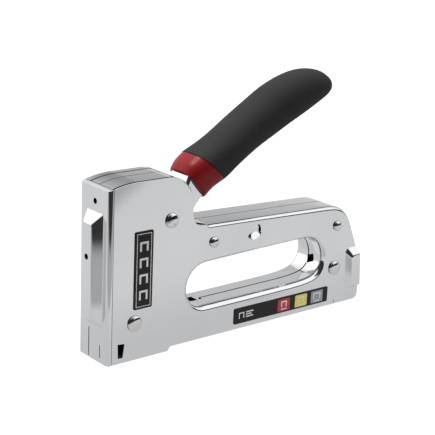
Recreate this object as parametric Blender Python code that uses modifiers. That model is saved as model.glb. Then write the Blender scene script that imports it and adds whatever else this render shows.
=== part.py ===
"""Hand-lever staple gun: two folded chrome shells round a finger slot, a nose plate with a raised rib,
a spring-driven hammer worked by a long lever, a slide-out staple magazine and a rear latch.
Units are metres. X runs from the nose to the rear, Y across the body, Z up. Lengths below are in mm."""

import math

import bmesh
import bpy
import numpy as np

MM = 0.001
X_SHIFT = -88.95         # puts the middle of the length at the origin
HALF_THICK = 13.2        # half the body's thickness
WALL = 1.0               # sheet of the two shells
SEAM_Y = 0.15            # where the two flanges meet
SEAM_GAP = 0.15          # half the gap between the two flanges
NOSE_WALL = 1.2
STROKE_ARM = 26.5        # lever pivot to the roller tip
ARM_ANGLE = math.radians(13.0)

LEVER_PIVOT = (39.5, 73.9)
LATCH_PIVOT = (161.4, 25.6)
# x, z, head radius, shank radius
RIVETS = {
    "rivet_loop_front": (68.6, 57.1, 3.1, 1.8),
    "rivet_nose": (17.0, 20.8, 4.5, 2.2),
    "rivet_loop_rear": (161.8, 51.7, 3.1, 1.8),
}
LEVER_PIN = (LEVER_PIVOT[0], LEVER_PIVOT[1], 4.15, 3.0)
LATCH_PIN = (LATCH_PIVOT[0], LATCH_PIVOT[1], 4.25, 2.2)

# Side outline, clockwise from the front of the foot: x, z, radius of the fold at the side face.
OUTLINE = [
    (0.0, 0.0, 0.5), (0.0, 30.0, 0.5), (0.0, 60.0, 0.5), (0.0, 94.4, 0.6), (1.3, 95.0, 0.6), (6.0, 96.3, 0.7),
    (12.0, 97.2, 0.8), (18.0, 97.5, 0.8), (37.0, 97.4, 0.8), (41.0, 96.9, 0.7), (45.2, 95.3, 0.6),
    (49.2, 92.1, 0.6), (52.1, 88.1, 0.6), (53.3, 83.0, 0.6), (53.9, 77.4, 0.6), (54.3, 73.4, 0.6),
    (55.0, 71.0, 0.5), (56.4, 69.3, 0.4), (58.6, 68.4, 0.4), (61.5, 68.0, 0.4), (63.4, 67.7, 0.5), (64.6, 67.4, 1.9),
    (95.0, 66.4, 2.0), (132.0, 65.1, 2.2), (148.0, 64.5, 2.3), (156.0, 64.1, 2.3), (160.5, 63.3, 2.2),
    (164.3, 61.8, 2.0), (167.6, 59.4, 1.6), (170.2, 56.1, 1.0), (172.2, 52.4, 0.7), (174.4, 47.0, 0.6),
    (176.6, 41.7, 0.6), (178.9, 35.6, 0.6), (180.8, 29.0, 0.6), (182.0, 21.0, 0.6), (182.8, 12.0, 0.6),
    (182.9, 6.1, 0.6), (182.3, 4.0, 0.6), (181.0, 2.8, 0.6), (178.9, 2.4, 0.6), (163.4, 2.4, 0.5),
    (120.0, 2.4, 0.5), (80.0, 2.4, 0.5), (41.2, 2.4, 0.5), (40.4, 1.6, 0.5), (39.4, 0.0, 0.5),
]
# Lip of the finger slot on the side face after its rounded front end: x, z, radius of the fold.
SLOT_LIP = [
    (64.0, 17.7, 2.5), (89.0, 17.8, 2.5), (119.0, 18.1, 2.5), (134.7, 18.5, 2.5), (141.6, 19.2, 2.5),
    (146.8, 20.5, 2.5), (150.6, 22.7, 2.5), (153.3, 25.8, 2.5), (154.8, 29.6, 2.5), (155.1, 33.6, 2.4),
    (153.9, 38.2, 2.3), (151.6, 42.2, 2.1), (148.5, 45.5, 1.9), (145.0, 47.8, 1.8), (140.6, 49.2, 1.7),
    (135.0, 49.6, 1.6), (100.0, 48.9, 1.6), (66.0, 47.9, 1.6),
]
FAR_SLOT_STEP = 1.1                  # the far shell's slot wall sits this much further out
FAR_SLOT_REACH = 1.5                 # and its rear end this much further back
REAR_WINDOW = [(3.4, 30.2), (-4.6, 33.8), (-5.9, 29.5), (2.0, 25.9)]    # y, z of the hole in the slot's rear wall
SLOT_FRONT = (64.3, 32.8, 15.1)      # centre and radius of the rounded front end
SLOT_FRONT_STEPS = 11

# Handle sections: x, z, half height, half width, tilt in degrees, roundness exponent.
COLLAR = [
    (58.5, 88.45, 8.9, 9.9, 39, 3.3), (59.2, 89.05, 10.2, 10.9, 40, 3.2), (63.1, 93.15, 10.9, 11.8, 44, 3.0),
    (69.2, 96.85, 11.9, 12.7, 49, 2.8),
]
CORE = [
    (69.2, 96.85, 8.6, 9.8, 49, 2.6), (76.0, 100.45, 8.3, 9.9, 36, 2.4), (95.1, 112.55, 8.2, 9.8, 30, 2.2),
    (111.0, 121.35, 8.2, 9.4, 28, 2.2), (123.0, 127.35, 7.4, 8.6, 25, 2.2), (126.0, 128.55, 5.0, 6.0, 25, 2.2),
]
GRIP = [
    (69.5, 97.15, 12.0, 12.8, 49, 2.8), (76.0, 100.45, 11.1, 12.8, 36, 2.6),
    (83.5, 105.15, 11.0, 13.0, 31, 2.3), (95.1, 112.55, 11.3, 13.2, 30, 2.2),
    (106.9, 119.15, 11.9, 13.4, 28.5, 2.2), (118.7, 125.55, 12.5, 13.6, 26, 2.2),
    (130.6, 130.65, 12.1, 13.6, 22, 2.2), (140.6, 133.95, 10.7, 13.0, 16, 2.2),
    (148.8, 135.35, 8.5, 11.3, 10, 2.2), (153.8, 135.15, 6.1, 8.6, 6, 2.2), (156.8, 134.85, 3.9, 5.8, 4, 2.2),
    (159.0, 134.65, 1.0, 1.8, 4, 2.0),
]
# The lever's neck, a U-shaped channel, from the side: x, z, radius of the bend at its side plates.
NECK = [
    (33.8, 76.05, 1.0), (36.0, 80.05, 1.4), (44.0, 82.15, 1.7), (49.5, 86.05, 1.8), (52.5, 91.55, 1.8),
    (54.6, 97.15, 1.8), (64.8, 87.55, 0.2), (62.7, 82.75, 0.2), (58.7, 78.55, 0.2), (56.6, 74.75, 0.2),
    (52.0, 68.75, 0.2), (46.0, 65.55, 0.2), (39.0, 65.55, 0.2), (34.2, 69.15, 0.4),
]
NECK_HOLLOW = [
    (35.3, 59.55), (35.0, 75.55), (37.0, 78.85), (44.6, 80.85), (50.5, 85.05), (53.8, 91.05), (55.6, 94.75),
    (62.5, 87.15), (73.0, 77.55), (61.0, 59.55),
]
NECK_RIB = [
    (36.0, 73.55), (38.0, 79.95), (45.0, 81.85), (50.0, 85.95), (53.4, 92.15), (55.0, 90.55), (52.0, 83.55),
    (48.5, 75.55), (45.0, 68.55), (37.0, 68.55),
]
TONGUE = [
    (55.6, 90.15), (56.4, 95.95), (69.0, 101.55), (87.0, 111.55), (113.0, 126.35), (115.2, 121.95),
    (91.0, 107.15), (73.0, 95.95), (59.5, 88.15),
]
SECTION_SIDES = 28

PARTS = bpy.data.collections.new("staple_gun")
CUTTERS = bpy.data.collections.new("cutters")


def clear_scene():
    for obj in list(bpy.data.objects):
        bpy.data.objects.remove(obj, do_unlink=True)
    for collection in (PARTS, CUTTERS):
        bpy.context.scene.collection.children.link(collection)


def material(name, colour, metallic, roughness):
    made = bpy.data.materials.new(name)
    made.use_nodes = True
    shader = made.node_tree.nodes["Principled BSDF"]
    shader.inputs["Base Color"].default_value = (*colour, 1.0)
    shader.inputs["Metallic"].default_value = metallic
    shader.inputs["Roughness"].default_value = roughness
    made.diffuse_color = (*colour, 1.0)
    return made


def finish(name, bm, look=None, origin=(0.0, 0.0, 0.0)):
    """Makes an object of the bmesh, in mm. With a look it is a part; without one it is a cutter."""
    bmesh.ops.remove_doubles(bm, verts=bm.verts, dist=1e-4)
    bmesh.ops.recalc_face_normals(bm, faces=bm.faces)
    if bm.calc_volume(signed=True) < 0:
        bmesh.ops.reverse_faces(bm, faces=bm.faces)
    place = np.array(origin) + (X_SHIFT, 0.0, 0.0)
    for vert in bm.verts:
        vert.co = [(vert.co[0] + X_SHIFT - place[0]) * MM, (vert.co[1] - place[1]) * MM, (vert.co[2] - place[2]) * MM]
    mesh = bpy.data.meshes.new(name)
    bm.to_mesh(mesh)
    bm.free()
    obj = bpy.data.objects.new(name, mesh)
    obj.location = [value * MM for value in place]
    if look is None:
        CUTTERS.objects.link(obj)
        obj.hide_render = True
        obj.display_type = "WIRE"
    else:
        PARTS.objects.link(obj)
        mesh.materials.append(look)
    return obj


def loft(bm, rings):
    """A closed solid through rings of equal length, capped at both ends."""
    rows = [[bm.verts.new(point) for point in ring] for ring in rings]
    count = len(rows[0])
    for low, high in zip(rows, rows[1:]):
        for i in range(count):
            j = (i + 1) % count
            bm.faces.new((low[i], low[j], high[j], high[i]))
    bm.faces.new(rows[0][::-1])
    bm.faces.new(rows[-1])


def lofted(name, rings, look=None, origin=(0.0, 0.0, 0.0)):
    bm = bmesh.new()
    loft(bm, rings)
    return finish(name, bm, look, origin)


def prism(name, loop, low, high, look=None, origin=(0.0, 0.0, 0.0), axis="y"):
    """A flat loop run straight along an axis: (x, z) along y, (x, y) along z, (y, z) along x."""
    place = {"y": lambda a, b, t: (a, t, b), "z": lambda a, b, t: (a, b, t), "x": lambda a, b, t: (t, a, b)}[axis]
    return lofted(name, [[place(a, b, t) for a, b in loop] for t in (low, high)], look, origin)


def box(name, x, y, z, look=None, origin=(0.0, 0.0, 0.0)):
    loop = [(x[0], z[0]), (x[1], z[0]), (x[1], z[1]), (x[0], z[1])]
    return prism(name, loop, y[0], y[1], look, origin)


def circle(x, z, radius, sides=24, start=0.0, turn=2 * math.pi):
    steps = sides if abs(turn - 2 * math.pi) < 1e-6 else sides - 1
    return [
        (x + radius * math.cos(start + turn * i / steps), z + radius * math.sin(start + turn * i / steps))
        for i in range(sides)
    ]


def disc(name, x, z, radius, low, high, look=None, sides=24, axis="y"):
    return prism(name, circle(x, z, radius, sides), low, high, look, axis=axis)


def boolean(target, cutter, operation):
    step = target.modifiers.new(cutter.name, "BOOLEAN")
    step.operation = operation
    step.object = cutter
    step.solver = "EXACT"


def cut(target, *cutters):
    for cutter in cutters:
        boolean(target, cutter, "DIFFERENCE")


def join(target, *pieces):
    for piece in pieces:
        boolean(target, piece, "UNION")


def bevel(obj, width, segments=2, angle=35):
    step = obj.modifiers.new("edges", "BEVEL")
    step.width = width * MM
    step.segments = segments
    step.limit_method = "ANGLE"
    step.angle_limit = math.radians(angle)


def inward(loop, amounts):
    """Moves each corner of a closed loop to the inside by its own amount, along the mitre."""
    points = np.array(loop, float)
    area = 0.5 * np.sum(points[:, 0] * np.roll(points[:, 1], -1) - np.roll(points[:, 0], -1) * points[:, 1])
    turn = 1.0 if area > 0 else -1.0
    before = points - np.roll(points, 1, axis=0)
    after = np.roll(points, -1, axis=0) - points
    normals = []
    for edge in (before, after):
        edge = edge / np.linalg.norm(edge, axis=1)[:, None]
        normals.append(turn * np.stack([-edge[:, 1], edge[:, 0]], axis=1))
    mitre = normals[0] + normals[1]
    mitre /= (mitre * normals[0]).sum(axis=1)[:, None]
    return points + mitre * np.reshape(amounts, (-1, 1))


def folded(name, loop, radii, start, end, steps=3, hole=False):
    """A solid whose outline is rolled in (or flared out, for a hole) towards the side face at start."""
    way = 1.0 if end > start else -1.0
    radii = np.array(radii, float)
    rings = []
    for i in range(steps + 1):
        turn = math.radians(90.0 * i / steps)
        amount = radii * (1.0 - math.sin(turn))
        flat = inward(loop, -amount if hole else amount)
        depth = start + way * radii * (1.0 - math.cos(turn))
        rings.append([(x, y, z) for (x, z), y in zip(flat, depth)])
    rings.append([(x, end, z) for x, z in loop])
    return lofted(name, rings)


def rolled(name, rows, half, grow=0.0, steps=3):
    """A solid of x, z, radius rows across the body, its outline rolled in towards both side planes."""
    loop = inward([(x, z) for x, z, _ in rows], np.full(len(rows), -grow))
    radii = np.array([r for _, _, r in rows]) + grow
    rings = []
    for i in range(steps + 1):
        turn = math.radians(90.0 * i / steps)
        flat = inward(loop, radii * (1.0 - math.sin(turn)))
        depth = -half - grow + radii * (1.0 - math.cos(turn))
        rings.append([(x, y, z) for (x, z), y in zip(flat, depth)])
    return lofted(name, rings + [[(x, -y, z) for x, y, z in ring] for ring in reversed(rings)])


def slot_lip(side):
    x, z, radius = SLOT_FRONT
    arc = circle(x, z, radius, SLOT_FRONT_STEPS, math.radians(90), math.pi)
    lip = [(a, b, 1.6 + 0.08 * i) for i, (a, b) in enumerate(arc)]
    lip = lip[1:-1] + SLOT_LIP
    if side < 0:
        return lip
    moved = []
    for a, b, r in lip:
        back = min(max((a - 138.0) / 12.0, 0.0), 1.0)
        moved.append((a + FAR_SLOT_REACH * back, b, max(r - FAR_SLOT_STEP, 0.5)))
    return moved


def pocket_rings(side, grow, rear):
    """The flared rear pocket: a base on the side face and a smaller flat face further out."""
    base = HALF_THICK - 0.5 - grow
    face = HALF_THICK + 3.0 - grow
    low = [
        (170.7 + grow, 9.8 + grow), (rear[0][0], 9.8 + grow),
        (rear[0][1], 37.2 - grow), (169.3 + grow, 37.2 - grow),
    ]
    top = [
        (175.5 + 0.6 * grow, 12.8 + 0.8 * grow), (rear[1][0], 12.8 + 0.8 * grow),
        (rear[1][1], 31.8 - 0.8 * grow), (173.7 + 0.6 * grow, 31.3 - 0.8 * grow),
    ]
    return [[(x, side * base, z) for x, z in low], [(x, side * face, z) for x, z in top]]


def shell(name, side, look):
    """One folded half of the body: side face, rolled flanges, slot wall and rear pocket."""
    reach = SEAM_Y + side * SEAM_GAP
    outer = [(x, z) for x, z, _ in OUTLINE]
    radii = np.array([r for _, _, r in OUTLINE])
    lip = slot_lip(side)
    lip_radii = np.array([r for _, _, r in lip])
    hole_loop = inward([(x, z) for x, z, _ in lip], lip_radii)
    body = folded(name, outer, radii, side * HALF_THICK, reach)
    CUTTERS.objects.unlink(body)
    PARTS.objects.link(body)
    body.hide_render = False
    body.display_type = "TEXTURED"
    body.data.materials.append(look)
    inner = inward(outer, np.full(len(outer), WALL))
    cavity = folded(name + "_cavity", inner, np.maximum(radii - WALL, 0.15), side * (HALF_THICK - WALL),
                    reach - side * 3.0, steps=2)
    tube = prism(name + "_slot_wall", inward(hole_loop, np.full(len(hole_loop), -WALL)),
                 side * (HALF_THICK - 0.5), reach)
    hole = folded(name + "_slot", hole_loop, lip_radii, side * HALF_THICK, reach - side * 3.0, hole=True)
    outside = prism(name + "_slot_mouth", [(x, z) for x, z, _ in lip], side * (HALF_THICK + 2.0),
                    side * HALF_THICK)
    bump = lofted(name + "_pocket", pocket_rings(side, 0.0, ((182.8, 178.4), (181.3, 179.9))))
    bump_inside = lofted(name + "_pocket_inside", pocket_rings(side, WALL, ((190.0, 190.0), (190.0, 190.0))))
    relief = [(x, side * y) for x, y in ((55.4, 12.7), (64.2, 12.7), (64.2, 11.5), (58.5, 6.0), (55.4, 3.0))]
    through = sorted((side * 20.0, side * 10.0))
    cut(body, cavity)
    join(body, tube)
    cut(body, hole, outside)
    join(body, bump)
    cut(body, bump_inside)
    cut(
        body,
        box(name + "_front", (-9.0, 2.8), (-20.0, 20.0), (-5.0, 110.0)),
        box(name + "_lever_gap", (49.6, 58.4), (-12.1, 12.1), (60.0, 110.0)),
        prism(name + "_relief", relief, 64.6, 74.0, axis="z"),
        box(name + "_floor_notch", (61.6, 69.6), (-1.5, 2.4), (16.0, 24.0)),
        prism(name + "_rear_window", REAR_WINDOW, 149.0, 158.0, axis="x"),
        box(name + "_rear_gap", (174.0, 195.0), (-12.1, 12.1), (3.5, 36.4)),
        box(name + "_magazine_gap", (2.0, 195.0), (-8.2, 8.2), (-3.0, 3.8)),
        prism(name + "_sight", [(6.4, 11.2), (10.8, 10.7), (9.7, 3.0), (6.7, 3.2)], *through),
        box(name + "_seam_slit", (162.7, 163.2), through, (0.0, 5.2)),
        disc(name + "_lever_hole", *LEVER_PIVOT, LEVER_PIN[3] + 0.3, *through),
        disc(name + "_latch_hole", *LATCH_PIVOT, LATCH_PIN[3] + 0.3, *through),
    )
    for rivet, (x, z, _, shank) in RIVETS.items():
        cut(body, disc(f"{name}_{rivet}_hole", x, z, shank + 0.3, *through))
    if side < 0:
        slot = [(99.3, 62.4), (101.0, 61.9), (101.8, 59.9), (102.3, 57.2), (101.8, 55.8), (101.0, 56.4), (100.2, 57.8),
                (100.0, 59.4), (100.1, 60.9)]
        cut(body, prism(name + "_hook_slot", slot, *through))
        tab = [(94.1, 57.4), (96.2, 58.3), (98.1, 58.8), (99.9, 57.6), (100.7, 56.8), (99.8, 55.6), (97.4, 54.7),
               (95.0, 54.2), (93.7, 55.5)]
        join(body, lofted(name + "_hook_tab", [
            [(a, -HALF_THICK + 0.5, b) for a, b in tab],
            [(a, -HALF_THICK - 0.1 - 0.42 * (58.8 - b), b) for a, b in tab],
        ]))
    return body


def nose_plate(look):
    """Formed front plate with rounded corners, a raised hollow rib and flanges that run inside the shells."""
    radius = 2.5

    def section(grow, depth):
        half = HALF_THICK - grow
        bend, tight = radius - grow, max(0.9 - grow, 0.2)
        left = circle(grow + bend, -half + bend, bend, 6, math.radians(270), -math.pi / 2)
        right = circle(grow + tight, half - tight, tight, 6, math.radians(180), -math.pi / 2)
        return [(depth, -half)] + left + right + [(depth, half)]

    plate = prism("nose_plate", section(0.0, 2.55), 0.0, 96.0, look, axis="z")
    above = [(-6.0, 94.4), (0.0, 94.4), (1.3, 95.0), (6.0, 96.3), (6.0, 99.0), (-6.0, 99.0)]
    rib = lofted("rib", [
        [(1.0, y, z) for y, z in ((-8.3, 19.4), (8.3, 19.4), (8.3, 82.0), (-8.3, 82.0))],
        [(-5.0, y, z) for y, z in ((-3.8, 24.2), (3.8, 24.2), (3.8, 75.8), (-3.8, 75.8))],
    ])
    rib_inside = lofted("rib_inside", [
        [(2.0, y, z) for y, z in ((-7.6, 20.4), (7.6, 20.4), (7.6, 81.0), (-7.6, 81.0))],
        [(-3.8, y, z) for y, z in ((-2.9, 25.2), (2.9, 25.2), (2.9, 74.8), (-2.9, 74.8))],
    ])
    hollow = prism("nose_hollow", section(NOSE_WALL, 4.0), -2.0, 93.2, axis="z")
    join(plate, rib)
    cut(plate, hollow, rib_inside, prism("nose_slope", above, -14.0, 14.0))
    for side, word in ((-1, "near"), (1, "far")):
        step = sorted((side * 10.9, side * 12.6))
        flange = sorted((side * 10.9, side * 11.9))
        join(
            plate,
            box(f"nose_step_{word}", (1.7, 2.5), step, (1.6, 92.0)),
            box(f"nose_flange_{word}", (1.7, 6.0), flange, (1.6, 92.0)),
        )
    cut(
        plate,
        disc("nose_top_hole", 0.0, 87.0, 1.6, -3.0, 3.0, axis="x", sides=16),
        disc("nose_rib_hole", 0.0, 58.0, 1.6, -9.0, 0.0, axis="x", sides=16),
        box("nose_slit_far", (-1.0, 1.6), (4.0, 4.7), (0.9, 17.2)),
        box("nose_slit_near", (-1.0, 1.6), (-6.3, -5.7), (2.8, 10.0)),
    )
    return plate


def rivet(name, x, z, head, shank, look, crown=1.7):
    """A pin across the body with a domed head on each side."""
    bm = bmesh.new()
    seat = HALF_THICK + 0.12
    dome = [(math.cos(a) * head, seat + 0.35 + math.sin(a) * (crown - 0.35)) for a in np.radians([0, 25, 50, 72])]
    right = [(shank, seat), (head - 0.15, seat)] + dome
    profile = [(r, -y) for r, y in reversed(right)] + right
    rings = []
    for radius, y in profile:
        rings.append([(a, y, b) for a, b in circle(x, z, radius, 24)])
    loft(bm, rings)
    return finish(name, bm, look, origin=(x, 0.0, z))


def coil(name, centre, axis, radius, wire, length, turns, look, per_turn=14, sides=6, ends=0.8):
    """A round-wire coil from centre along the axis, with closed end turns."""
    bm = bmesh.new()
    steps = int(per_turn * turns)
    rings = []
    for i in range(steps + 1):
        part = i / steps
        turn = part * turns
        rise = min(max((turn - ends) / (turns - 2 * ends), 0.0), 1.0)
        flat = wire * 1.06 * (min(turn, ends) + max(turn - turns + ends, 0.0))
        along = wire / 2 + flat + rise * (length - wire - wire * 1.06 * 2 * ends)
        a = 2 * math.pi * turn
        out = np.array([math.cos(a), math.sin(a), 0.0])
        ring = []
        for k in range(sides):
            b = 2 * math.pi * k / sides
            local = out * (radius + wire / 2 * math.cos(b)) + np.array([0, 0, along + wire / 2 * math.sin(b)])
            if axis == "y":
                local = np.array([local[0], local[2], local[1]])
            elif axis == "x":
                local = np.array([local[2], local[1], local[0]])
            ring.append(np.array(centre) + local)
        rings.append(ring)
    loft(bm, rings)
    return finish(name, bm, look, origin=centre)


def section_ring(x, z, height, width, tilt, power, grow=0.0, sides=SECTION_SIDES):
    a = math.radians(tilt)
    ring = []
    for i in range(sides):
        t = 2 * math.pi * i / sides
        c, s = math.cos(t), math.sin(t)
        y = (width + grow) * math.copysign(abs(c) ** (2 / power), c)
        m = (height + grow) * math.copysign(abs(s) ** (2 / power), s)
        ring.append((x - m * math.sin(a), y, z + m * math.cos(a)))
    return ring


def spread(sections, steps=2):
    """Sections in between, on a smooth curve through the given ones."""
    rows = np.array(sections, float)
    ends = np.vstack([2 * rows[0] - rows[1], rows, 2 * rows[-1] - rows[-2]])
    out = []
    for i in range(len(rows) - 1):
        p0, p1, p2, p3 = ends[i:i + 4]
        for k in range(steps):
            t = k / steps
            point = 0.5 * (2 * p1 + (p2 - p0) * t + (2 * p0 - 5 * p1 + 4 * p2 - p3) * t * t
                           + (3 * p1 - 3 * p2 + p3 - p0) * t ** 3)
            out.append(point)
    out.append(rows[-1])
    return out


def lever(look):
    """The chrome lever: a U-shaped neck, a solid front arm with a round tip, and a tongue inside the grip."""
    x, z = LEVER_PIVOT
    along = np.array([-math.cos(ARM_ANGLE), -math.sin(ARM_ANGLE)])
    across = np.array([-along[1], along[0]])
    pivot = np.array([x, z])
    arm = [pivot + along * (STROKE_ARM + t) + across * h for t, h in
           ((0.0, 2.0), (-6.0, 2.1), (-13.0, 3.4), (-21.0, 6.0), (-30.0, 6.0), (-30.0, -6.0), (-21.0, -6.0),
            (-13.0, -3.4), (-6.0, -2.1), (0.0, -2.0))]
    origin = (x, 0.0, z)
    body = prism("lever_arm", [tuple(p) for p in arm], -4.2, 4.2, look, origin)
    tip = pivot + along * STROKE_ARM
    neck = rolled("neck", NECK, 8.4)
    cut(neck, prism("neck_hollow", NECK_HOLLOW, -7.0, 7.0))
    join(
        body,
        disc("arm_tip", tip[0], tip[1], 3.0, -4.2, 4.2, sides=20),
        disc("hub", x, z, 6.2, -5.0, 5.0),
        neck,
        prism("neck_rib", NECK_RIB, -4.4, 4.4),
        prism("tongue", TONGUE, -5.0, 5.0),
    )
    cut(body, disc("lever_bore", x, z, LEVER_PIN[3] + 0.3, -20.0, 20.0))


def grown(loop, amount):
    return [tuple(p) for p in inward(loop, np.full(len(loop), -amount))]


def handle(red, black):
    """The red inner grip with its collar, and the black cover over it."""
    origin = (LEVER_PIVOT[0], 0.0, LEVER_PIVOT[1])
    rings = [section_ring(*s) for s in spread(COLLAR)] + [section_ring(*s) for s in spread(CORE)]
    core = lofted("grip_core", rings, red, origin)
    cut(
        core,
        rolled("neck_socket", NECK, 8.4, grow=0.3),
        prism("tongue_socket", grown(TONGUE, 0.3), -5.3, 5.3),
    )
    cover = lofted("grip_cover", [section_ring(*s) for s in spread(GRIP)], black, origin)
    tilt = math.radians(CORE[0][4])
    mouth = (CORE[0][0] - 3.0 * math.cos(tilt), CORE[0][1] - 3.0 * math.sin(tilt), *CORE[0][2:])
    tilt = math.radians(CORE[-1][4])
    bottom = (CORE[-1][0] + 0.6 * math.cos(tilt), CORE[-1][1] + 0.6 * math.sin(tilt), *CORE[-1][2:])
    inner = [mouth, *spread(CORE), bottom]
    cut(cover, lofted("cover_socket", [section_ring(*s, grow=0.35) for s in inner]))
    return core, cover


def hammer_group(steel, dark, spring):
    hammer = box("hammer", (3.2, 17.6), (-7.3, 7.3), (36.0, 73.5), steel)
    cut(
        hammer,
        box("hammer_window", (9.0, 19.0), (-4.6, 4.6), (64.5, 71.35)),
        disc("hammer_pin_hole", 0.0, 52.0, 2.3, 2.0, 10.6, axis="x", sides=16),
        box("hammer_lightening", (9.0, 19.0), (-4.6, 4.6), (40.0, 47.0)),
    )
    blade = box("driver_blade", (1.6, 2.8), (-5.2, 5.2), (1.0, 62.0), steel)
    cut(blade, disc("blade_hole", 0.0, 52.0, 2.3, 0.0, 4.0, axis="x", sides=16))
    pin = disc("hammer_pin", 0.0, 52.0, 2.0, 1.7, 10.0, steel, sides=16, axis="x")
    coil("main_spring", (11.0, 0.0, 73.9), "z", 5.6, 1.6, 19.0, 5.5, spring)
    seat = disc("spring_seat", 11.0, 0.0, 6.9, 93.1, 94.1, dark, axis="z")
    join(seat, disc("seat_boss", 11.0, 0.0, 4.4, 90.6, 93.6, axis="z", sides=20))
    box("bumper", (3.4, 17.0), (-6.0, 6.0), (24.6, 35.6), dark)
    return hammer, blade, pin, seat


def magazine_group(steel, dark, spring):
    channel = box("magazine_channel", (4.0, 161.0), (-7.4, 7.4), (4.4, 16.2), steel)
    join(channel, box("channel_foot", (4.0, 39.0), (-7.4, 7.4), (0.9, 6.0)))
    cut(channel, box("channel_hollow", (0.0, 170.0), (-6.6, 6.6), (0.0, 15.4)))
    rail = box("staple_rail", (4.3, 163.2), (-4.6, 4.6), (3.4, 12.6), steel)
    cut(rail, box("rail_hollow", (3.0, 170.0), (-3.8, 3.8), (4.2, 20.0)))
    disc("guide_rod", 0.0, 8.3, 1.1, 5.0, 164.4, steel, sides=14, axis="x")
    cap = box("magazine_end_cap", (163.6, 181.0), (-7.8, 7.8), (2.7, 11.2), steel)
    cut(
        cap,
        box("cap_recess", (166.5, 178.2), (-6.4, 6.4), (5.2, 20.0)),
        disc("rod_socket", 0.0, 8.3, 1.4, 150.0, 165.0, axis="x", sides=14),
    )
    pusher = box("pusher", (6.0, 15.0), (-5.9, 5.9), (5.6, 14.4), dark)
    cut(
        pusher,
        box("pusher_near_gap", (0.0, 20.0), (-4.9, -3.5), (0.0, 12.9)),
        box("pusher_far_gap", (0.0, 20.0), (3.5, 4.9), (0.0, 12.9)),
        disc("pusher_bore", 0.0, 8.3, 1.4, 0.0, 20.0, axis="x", sides=14),
    )
    coil("pusher_spring", (15.3, 0.0, 8.3), "x", 2.1, 0.6, 147.8, 30, spring, per_turn=9, sides=5)
    return channel, rail, cap, pusher


def latch_group(steel, spring):
    """Rear latch: a hub on its pin, a finger pad at the back and two side hooks over the end cap."""
    x, z = LATCH_PIVOT
    hub = circle(x, z, 4.3, 9, math.radians(250), -math.radians(140))
    loop = hub + [(166.0, 31.4), (174.6, 34.0), (177.4, 33.0), (178.0, 24.0), (176.8, 14.4), (175.4, 12.0),
                  (171.6, 12.0), (171.4, 13.8), (173.6, 15.6), (174.4, 23.0), (169.0, 22.4), (165.0, 21.2)]
    latch = prism("latch", loop, -7.6, 7.6, steel, origin=(x, 0.0, z))
    cut(
        latch,
        disc("latch_bore", x, z, LATCH_PIN[3] + 0.3, -20.0, 20.0),
        box("latch_track", (150.0, 190.0), (-6.3, 6.3), (0.0, 15.4)),
    )
    coil("latch_spring", (x, 7.9, z), "y", 3.6, 0.7, 2.6, 2.6, spring, sides=6)
    return latch


def labels(black):
    for side, word in ((-1, "near"), (1, "far")):
        span = sorted((side * (HALF_THICK + 0.1), side * (HALF_THICK + 0.45)))
        box(f"{word}_plaque", (15.9, 27.6), span, (28.4, 71.0), black)
        box(f"{word}_strip", (85.0, 157.0), span, (5.6, 14.9), black)


def build():
    clear_scene()
    chrome = material("chrome", (0.62, 0.63, 0.65), 1.0, 0.12)
    steel = material("bright_steel", (0.5, 0.51, 0.53), 1.0, 0.3)
    dark = material("dark_rubber", (0.03, 0.03, 0.03), 0.0, 0.7)
    spring = material("spring_steel", (0.4, 0.4, 0.42), 1.0, 0.35)
    red = material("red_plastic", (0.28, 0.012, 0.016), 0.0, 0.25)
    black = material("black_rubber", (0.02, 0.02, 0.021), 0.0, 0.6)
    ink = material("label_black", (0.015, 0.015, 0.016), 0.0, 0.4)
    shell("near_shell", -1, chrome)
    shell("far_shell", 1, chrome)
    nose_plate(chrome)
    labels(ink)
    for name, (x, z, head, shank) in RIVETS.items():
        rivet(name, x, z, head, shank, steel)
    rivet("lever_pin", *LEVER_PIN, steel)
    rivet("latch_pin", *LATCH_PIN, steel)
    lever(chrome)
    coil("return_spring", (LEVER_PIVOT[0], 5.2, LEVER_PIVOT[1]), "y", 3.7, 0.42, 1.65, 2.4, spring, sides=6)
    handle(red, black)
    hammer_group(steel, dark, spring)
    magazine_group(steel, dark, spring)
    latch_group(steel, spring)


build()
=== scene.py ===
"""Looks of a hand-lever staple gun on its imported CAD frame: finely folded chrome shells, nose plate, rivets,
lever, grip, labels, latch and magazine, each with its own procedural material, in a plain white studio.
Lengths are in millimetres unless a line says otherwise, in the CAD's frame with X counted from the nose."""

import math

import bmesh
import bpy
import numpy as np
from mathutils import Matrix, Vector


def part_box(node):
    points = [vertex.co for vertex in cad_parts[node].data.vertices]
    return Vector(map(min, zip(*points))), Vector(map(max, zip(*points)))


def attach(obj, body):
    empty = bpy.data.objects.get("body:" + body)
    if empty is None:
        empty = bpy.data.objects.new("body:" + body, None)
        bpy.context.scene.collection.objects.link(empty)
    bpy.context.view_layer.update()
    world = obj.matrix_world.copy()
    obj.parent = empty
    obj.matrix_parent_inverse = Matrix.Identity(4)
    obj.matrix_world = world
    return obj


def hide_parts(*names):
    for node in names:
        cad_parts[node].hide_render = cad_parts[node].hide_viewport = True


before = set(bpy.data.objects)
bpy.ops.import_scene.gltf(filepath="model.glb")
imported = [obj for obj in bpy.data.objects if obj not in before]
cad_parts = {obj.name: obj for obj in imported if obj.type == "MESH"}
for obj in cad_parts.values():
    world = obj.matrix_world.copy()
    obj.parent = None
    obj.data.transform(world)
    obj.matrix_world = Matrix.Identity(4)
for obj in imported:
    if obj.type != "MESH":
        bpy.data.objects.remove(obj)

MM = 0.001
RIB_REACH = 5.0   # how far the nose plate's rib stands out in front of x = 0
X_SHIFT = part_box("nose_plate")[0].x / MM + RIB_REACH
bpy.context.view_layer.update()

# ---------------------------------------------------------------- measures shared with the CAD

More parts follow.
